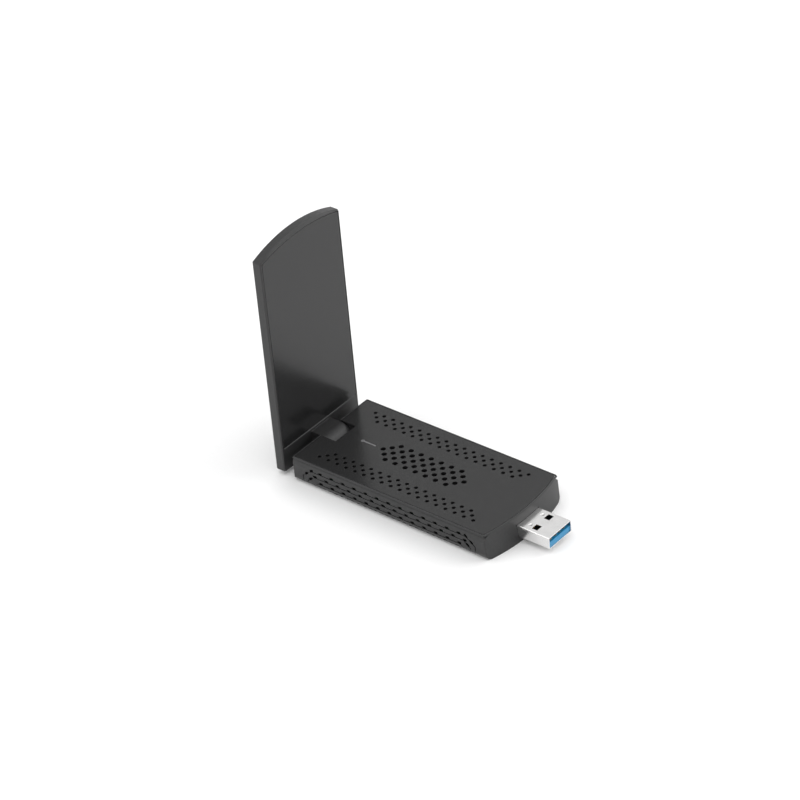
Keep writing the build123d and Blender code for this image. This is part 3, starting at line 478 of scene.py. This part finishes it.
def start_material(name):
    """A new material with its node tree, shader and position socket."""
    material = bpy.data.materials.new(name)
    material.use_nodes = True
    tree = material.node_tree
    shader = tree.nodes["Principled BSDF"]
    position = tree.nodes.new("ShaderNodeTexCoord").outputs["Object"]
    return material, tree, shader, position


def place_group(tree, group, **inputs):
    """Put a shared effect into a material and set or connect its inputs by name."""
    node = tree.nodes.new("ShaderNodeGroup")
    node.node_tree = group
    for key, value in inputs.items():
        socket = node.inputs[key.replace("_", " ")]
        if isinstance(value, bpy.types.NodeSocket):
            tree.links.new(value, socket)
        else:
            socket.default_value = value
    return node


def blend_colours(tree, amount, low, high):
    """A colour that goes from low to high as a mask goes from 0 to 1."""
    node = tree.nodes.new("ShaderNodeMix")
    node.data_type = "RGBA"
    tree.links.new(amount, node.inputs[0])
    for socket, value in ((node.inputs[6], low), (node.inputs[7], high)):
        if isinstance(value, bpy.types.NodeSocket):
            tree.links.new(value, socket)
        else:
            socket.default_value = (*value, 1)
    return node.outputs[2]


def spread(tree, mask, low, high, start=0.0, stop=1.0):
    """A number that goes from low to high as a mask goes from start to stop."""
    node = place(
        tree,
        "ShaderNodeMapRange",
        Value=mask,
        From_Min=start,
        From_Max=stop,
        To_Min=low,
        To_Max=high,
    )
    return node.outputs["Result"]


# %% [markdown]
# **Black housing plastic.** The housing and the back of the antenna are moulded in carbon-black
# plastic. It isn't quite black, and light skims off it softly. The edges are a touch paler and
# smoother, where the mould polishes them and hands rub them.

# %% Material: textured plastic


def textured_plastic(name, dark, pale, rough, pits, depth, edge_radius):
    """Moulded plastic with a pitted skin, rubbed edges, faint scuffs and a little dust."""
    material, tree, shader, position = start_material(name)
    skin = place_group(
        tree,
        moulded_skin,
        Position=position,
        Pits_per_metre=pits,
        Pit_depth=depth,
        Edge_radius=edge_radius,
    )
    marks = place_group(tree, handling, Position=position)
    tone = blend_colours(tree, spread(tree, skin.outputs["Pits"], 0, 1, 0.7, 1.3), dark, pale)
    rubbed = blend_colours(
        tree, spread(tree, skin.outputs["Edge"], 0, 0.55), tone, tuple(2.1 * c for c in pale)
    )
    dusty = blend_colours(
        tree, spread(tree, marks.outputs["Dust"], 0, 0.04), rubbed, (0.42, 0.41, 0.39)
    )
    uneven = spread(tree, skin.outputs["Gloss"], rough[0], rough[1])
    smoother = calculate(tree, "MULTIPLY_ADD", marks.outputs["Scuffs"], -0.015)
    tree.links.new(uneven, smoother.node.inputs[2])
    tree.links.new(dusty, shader.inputs["Base Color"])
    tree.links.new(smoother, shader.inputs["Roughness"])
    tree.links.new(skin.outputs["Normal"], shader.inputs["Normal"])
    shader.inputs["IOR"].default_value = 1.46
    return material


housing_black = textured_plastic(
    "housing_black",
    dark=(0.017, 0.017, 0.0174),
    pale=(0.024, 0.024, 0.0245),
    rough=(0.37, 0.41),
    pits=5200,
    depth=0.45,
    edge_radius=0.00022,
)
cover_black = textured_plastic(
    "cover_black",
    dark=(0.011, 0.011, 0.0113),
    pale=(0.016, 0.016, 0.0163),
    rough=(0.20, 0.23),
    pits=6400,
    depth=0.25,
    edge_radius=0.00012,
)
print("plastics:", housing_black.name, cover_black.name)

# %% [markdown]
# **Plated sheet steel.** The plug's shell is nickel-plated steel folded into a flat tube, bright but
# with fine rolling lines along its length. Hinge pins, the screening can and tinned contacts are the
# same idea with other colours and coarser or finer lines, so one function makes them all.

# %% Material: drawn and plated metal


def plated_metal(name, dark, pale, rough, lines, depth, edge_radius, turn=(0, 0, 0)):
    """Metal with lines along one direction, faint blotches and brighter edges."""
    material, tree, shader, position = start_material(name)
    turned = place(tree, "ShaderNodeMapping", Vector=position, Rotation=turn)
    grain = place_group(
        tree,
        drawn_metal,
        Position=turned.outputs[0],
        Lines_per_metre=lines,
        Line_depth=depth,
        Edge_radius=edge_radius,
    )
    tone = blend_colours(tree, spread(tree, grain.outputs["Cloud"], 0, 1, 0.3, 0.7), dark, pale)
    worn = blend_colours(
        tree, spread(tree, grain.outputs["Edge"], 0, 0.6), tone, tuple(min(1, 1.15 * c) for c in pale)
    )
    lined = spread(tree, grain.outputs["Lines"], rough[0], rough[1], 0.3, 0.7)
    tree.links.new(worn, shader.inputs["Base Color"])
    tree.links.new(lined, shader.inputs["Roughness"])
    tree.links.new(grain.outputs["Normal"], shader.inputs["Normal"])
    shader.inputs["Metallic"].default_value = 1.0
    return material


bright_nickel = plated_metal(
    "bright_nickel", (0.74, 0.735, 0.73), (0.80, 0.795, 0.79), (0.17, 0.22), 9000, 0.08, 0.00008
)
tinned = plated_metal(
    "tinned", (0.58, 0.58, 0.57), (0.70, 0.70, 0.69), (0.30, 0.45), 5000, 0.35, 0.00005
)
gold_plate = plated_metal(
    "gold_plate", (0.78, 0.52, 0.20), (0.88, 0.62, 0.28), (0.16, 0.28), 8000, 0.2, 0.00004
)
ground_steel = plated_metal(
    "ground_steel", (0.42, 0.42, 0.43), (0.55, 0.55, 0.56), (0.22, 0.36), 12000, 0.3, 0.00006,
    turn=(0, 0, math.pi / 2),
)
black_zinc = plated_metal(
    "black_zinc", (0.045, 0.045, 0.05), (0.09, 0.09, 0.095), (0.32, 0.48), 7000, 0.3, 0.00006
)
printed_copper = plated_metal(
    "printed_copper", (0.66, 0.31, 0.17), (0.80, 0.42, 0.25), (0.25, 0.38), 6000, 0.25, 0.00003
)
black_anodised = plated_metal(
    "black_anodised", (0.020, 0.020, 0.021), (0.035, 0.035, 0.036), (0.38, 0.5), 4200, 0.5, 0.00006
)
metals = (
    bright_nickel, tinned, gold_plate, ground_steel, black_zinc, printed_copper, black_anodised
)
print("metals:", [material.name for material in metals])

# %% [markdown]
# ** Blue insulator.** The tongue in the plug is moulded in glass-filled blue plastic. Only its front at
# the mouth keeps the bright blue. Behind it the colour is painted near-black, a painted shade for the
# dark depth inside the shell. The glass fibres show as pale flecks and fine flow lines that run
# towards the mouth. The plug points along X, so the distance along X says where the painted shade
# begins.

# %% Material: blue tongue
# The front of the tongue this long stays bright blue. Behind it the colour is painted shade.
BRIGHT_FRONT_LENGTH = 3.0 * MM
_, tongue_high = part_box("usb_tongue")
SHADE_FADE_START = tongue_high[0] - BRIGHT_FRONT_LENGTH
SHADE_FADE_LENGTH = 0.3 * MM


def blue_insulator():
    """Glass-filled blue plastic with flow lines, and painted shade over the tongue behind its front.
    """
    material, tree, shader, position = start_material("blue_insulator")
    skin = place_group(
        tree, moulded_skin, Position=position, Pits_per_metre=7000.0, Pit_depth=0.4,
        Edge_radius=0.00012,
    )
    flow = place(tree, "ShaderNodeMapping", Vector=position, Scale=(500.0, 3200.0, 3200.0))
    streaks = place(tree, "ShaderNodeTexNoise", Vector=flow.outputs[0], Scale=1.0, Detail=3.0)
    tone = blend_colours(
        tree,
        spread(tree, streaks.outputs[0], 0, 1, 0.35, 0.7),
        (0.010, 0.190, 0.400),
        (0.024, 0.290, 0.540),
    )
    edged = blend_colours(
        tree, spread(tree, skin.outputs["Edge"], 0, 0.5), tone, (0.08, 0.40, 0.66)
    )
    along = place(tree, "ShaderNodeSeparateXYZ", Vector=position)
    # Painted shade: behind the front, the tongue's colour fades to near-black for the dark depth
    # inside the shell.
    out_of_painted_shade = spread(tree, along.outputs["X"], 0, 1, SHADE_FADE_START, SHADE_FADE_START + SHADE_FADE_LENGTH)
    blue_with_painted_shade = blend_colours(tree, out_of_painted_shade, (0.006, 0.010, 0.014), edged)
    tree.links.new(blue_with_painted_shade, shader.inputs["Base Color"])
    tree.links.new(spread(tree, skin.outputs["Gloss"], 0.30, 0.42), shader.inputs["Roughness"])
    tree.links.new(skin.outputs["Normal"], shader.inputs["Normal"])
    return material


tongue_blue = blue_insulator()
print("insulator:", tongue_blue.name)

# %% [markdown]
# **Circuit board.** Solder mask is a thin green lacquer over copper tracks, and the tracks show
# through it as slightly raised, slightly paler lines. A brick texture turned sideways and thinned
# makes straight runs that step from row to row, which is close enough to routed tracks.

# %% Material: circuit board


def circuit_board():
    """Green lacquer over straight copper runs and a few small plated holes."""
    material, tree, shader, position = start_material("circuit_board")
    runs = place(
        tree,
        "ShaderNodeTexBrick",
        {"offset": 0.37, "squash": 1.6, "squash_frequency": 3},
        Vector=position,
        Scale=420.0,
        Mortar_Size=0.035,
        Mortar_Smooth=0.3,
        Brick_Width=2.3,
        Row_Height=0.30,
    )
    holes = place(
        tree, "ShaderNodeTexVoronoi", {"feature": "F1"}, Vector=position, Scale=430.0,
        Randomness=0.85,
    )
    plated = spread(tree, holes.outputs["Distance"], 1, 0, 0.10, 0.13)
    cloud = place(tree, "ShaderNodeTexNoise", Vector=position, Scale=260.0, Detail=2.0)
    mask = spread(tree, runs.outputs["Fac"], 0, 1)
    lacquer = blend_colours(tree, mask, (0.008, 0.070, 0.034), (0.020, 0.150, 0.072))
    drilled = blend_colours(tree, plated, lacquer, (0.62, 0.60, 0.52))
    bump = place(tree, "ShaderNodeBump", Strength=0.5, Distance=0.00003, Height=mask)
    tree.links.new(drilled, shader.inputs["Base Color"])
    tree.links.new(spread(tree, cloud.outputs[0], 0.2, 0.34, 0.3, 0.7), shader.inputs["Roughness"])
    tree.links.new(bump.outputs["Normal"], shader.inputs["Normal"])
    return material


board_green = circuit_board()
print("board:", board_green.name)

# %% [markdown]
# **Small plain materials.** Chip packages, ferrite, sintered ceramic, the soft thermal pads, the
# cable jackets and the resin of the lamp are all fine-grained solids. They differ in colour, gloss
# and how coarse their grain is, so they share one function.

# %% Material: fine-grained solids


def fine_grained(name, dark, pale, rough, pits, depth, edge_radius=0.00006):
    """A solid with a visible grain in its colour, its gloss and its relief."""
    material, tree, shader, position = start_material(name)
    skin = place_group(
        tree,
        moulded_skin,
        Position=position,
        Pits_per_metre=pits,
        Pit_depth=depth,
        Edge_radius=edge_radius,
    )
    tone = blend_colours(tree, spread(tree, skin.outputs["Pits"], 0, 1, 0.7, 1.3), dark, pale)
    edged = blend_colours(
        tree, spread(tree, skin.outputs["Edge"], 0, 0.4), tone, tuple(min(1, 1.4 * c) for c in pale)
    )
    tree.links.new(edged, shader.inputs["Base Color"])
    tree.links.new(spread(tree, skin.outputs["Gloss"], *rough), shader.inputs["Roughness"])
    tree.links.new(skin.outputs["Normal"], shader.inputs["Normal"])
    return material


chip_package = fine_grained(
    "chip_package", (0.018, 0.018, 0.019), (0.034, 0.034, 0.036), (0.45, 0.6), 9000, 0.5
)
ferrite = fine_grained("ferrite", (0.05, 0.05, 0.052), (0.11, 0.11, 0.115), (0.5, 0.7), 6000, 0.8)
sintered = fine_grained("sintered", (0.30, 0.20, 0.12), (0.46, 0.33, 0.22), (0.35, 0.5), 8000, 0.4)
silicone_pad = fine_grained(
    "silicone_pad", (0.30, 0.36, 0.42), (0.42, 0.48, 0.55), (0.6, 0.8), 3000, 1.0
)
cable_jacket = fine_grained(
    "cable_jacket", (0.02, 0.02, 0.021), (0.04, 0.04, 0.042), (0.4, 0.5), 7000, 0.4
)
lamp_resin = fine_grained(
    "lamp_resin", (0.72, 0.74, 0.70), (0.86, 0.88, 0.84), (0.2, 0.3), 5000, 0.2
)
fine_solids = (chip_package, ferrite, sintered, silicone_pad, cable_jacket, lamp_resin)
print("fine-grained solids:", [material.name for material in fine_solids])

# %% [markdown]
# **Frosted light guide.** The indicator is a sliver of smoky plastic with a frosted top. It looks
# grey against the black, because it gathers light and scatters it back, so it is a milky plastic
# with a smooth skin and not clear glass.

# %% Material: frosted guide


def frosted_guide():
    """Milky grey plastic with a fine frost on its skin."""
    material, tree, shader, position = start_material("frosted_guide")
    skin = place_group(
        tree, moulded_skin, Position=position, Pits_per_metre=12000.0, Pit_depth=0.5,
        Edge_radius=0.0001,
    )
    tone = blend_colours(
        tree, spread(tree, skin.outputs["Pits"], 0, 1, 0.7, 1.3), (0.15, 0.152, 0.155),
        (0.21, 0.212, 0.215),
    )
    tree.links.new(tone, shader.inputs["Base Color"])
    tree.links.new(spread(tree, skin.outputs["Gloss"], 0.22, 0.36), shader.inputs["Roughness"])
    tree.links.new(skin.outputs["Normal"], shader.inputs["Normal"])
    return material


guide_frost = frosted_guide()
print("guide:", guide_frost.name)

# %% [markdown]
# **Pale board of the sweep.** Matt paper board, nearly white, with a tooth so fine that it only
# keeps the floor from looking like plastic.

# %% Material: sweep


def pale_board():
    """Matt off-white board with a very fine tooth."""
    material, tree, shader, position = start_material("pale_board")
    tooth = place(tree, "ShaderNodeTexNoise", Vector=position, Scale=700.0, Detail=3.0)
    tone = blend_colours(tree, tooth.outputs[0], (0.92, 0.92, 0.92), (0.95, 0.95, 0.95))
    bump = place(tree, "ShaderNodeBump", Strength=0.1, Distance=0.0001, Height=tooth.outputs[0])
    tree.links.new(tone, shader.inputs["Base Color"])
    tree.links.new(spread(tree, tooth.outputs[0], 0.7, 0.85), shader.inputs["Roughness"])
    tree.links.new(bump.outputs["Normal"], shader.inputs["Normal"])
    return material


sweep.data.materials.append(pale_board())

# %% [markdown]
# ## Dress the solid parts
#
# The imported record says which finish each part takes. A table from those finish names to the
# materials above is all it needs, and a part that is missing from the table would stop the script.

# %% Give every solid part its material
FINISHES = {
    "black_plastic": housing_black,
    "cover_plastic": cover_black,
    "plug_steel": bright_nickel,
    "blue_plastic": tongue_blue,
    "gold_contact": gold_plate,
    "clear_guide": guide_frost,
    "board_green": board_green,
    "chip_black": chip_package,
    "ferrite_grey": ferrite,
    "tin_metal": tinned,
    "capacitor_tan": sintered,
    "led_white": lamp_resin,
    "pad_grey": silicone_pad,
    "sink_aluminium": black_anodised,
    "coax_jacket": cable_jacket,
    "hinge_steel": ground_steel,
    "screw_black": black_zinc,
    "copper": printed_copper,
}
for part in frame["record"]["subparts"]:
    solid = frame["nodes"][part["node"]]
    solid.data.materials.clear()
    solid.data.materials.append(FINISHES[part["material_slot"]])

# %% [markdown]
# ## The indicator's lens
#
# The top of the light guide isn't flat: it is a drop of clear lacquer that stands a little proud in
# the middle of the slit and thins out to nothing at its rim. It is a grid of points in polar form.
# The rim is a bar with round ends, and the height falls off as the square of the distance outward.

# %% Lens on the light guide
guide_low, guide_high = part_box("light_guide")
_, cover_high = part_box("top_cover")
EYE_RADIUS = 0.6 * MM
SLIT_HALF_WIDTH = 0.22 * MM
SLIT_FROM_FOOT = 1.0 * MM  # the foot under the cover is longer than the slit at each end
CROWN = 0.06 * MM


def lens_points(rings, spokes):
    """Points of a shallow dome on a round-ended bar: height = crown times (1 - distance squared)."""
    out, angle = np.meshgrid(
        np.linspace(0, 1, rings), np.linspace(0, 2 * np.pi, spokes, endpoint=False), indexing="ij"
    )
    rear = guide_low[0] + SLIT_FROM_FOOT + 2 * EYE_RADIUS
    front = guide_high[0] - SLIT_FROM_FOOT - SLIT_HALF_WIDTH
    half_run = (front - rear) / 2
    reach = half_run * np.sign(np.cos(angle)) + SLIT_HALF_WIDTH * np.cos(angle)
    x = (rear + front) / 2 + out * reach
    y = out * SLIT_HALF_WIDTH * np.sin(angle)
    z = cover_high[2] + CROWN * (1 - out**2)
    return np.stack([x, y, z], axis=-1)


LENS_RINGS = 7
LENS_SPOKES = 48
lens = mesh_object(
    "light_lens",
    lens_points(LENS_RINGS, LENS_SPOKES),
    grid_faces(LENS_RINGS, LENS_SPOKES, wrap_columns=True)[:, ::-1],
)
lens.data.materials.append(guide_frost)
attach(lens, "housing")
print("lens length in mm:", round(lens.dimensions.x / MM, 2))
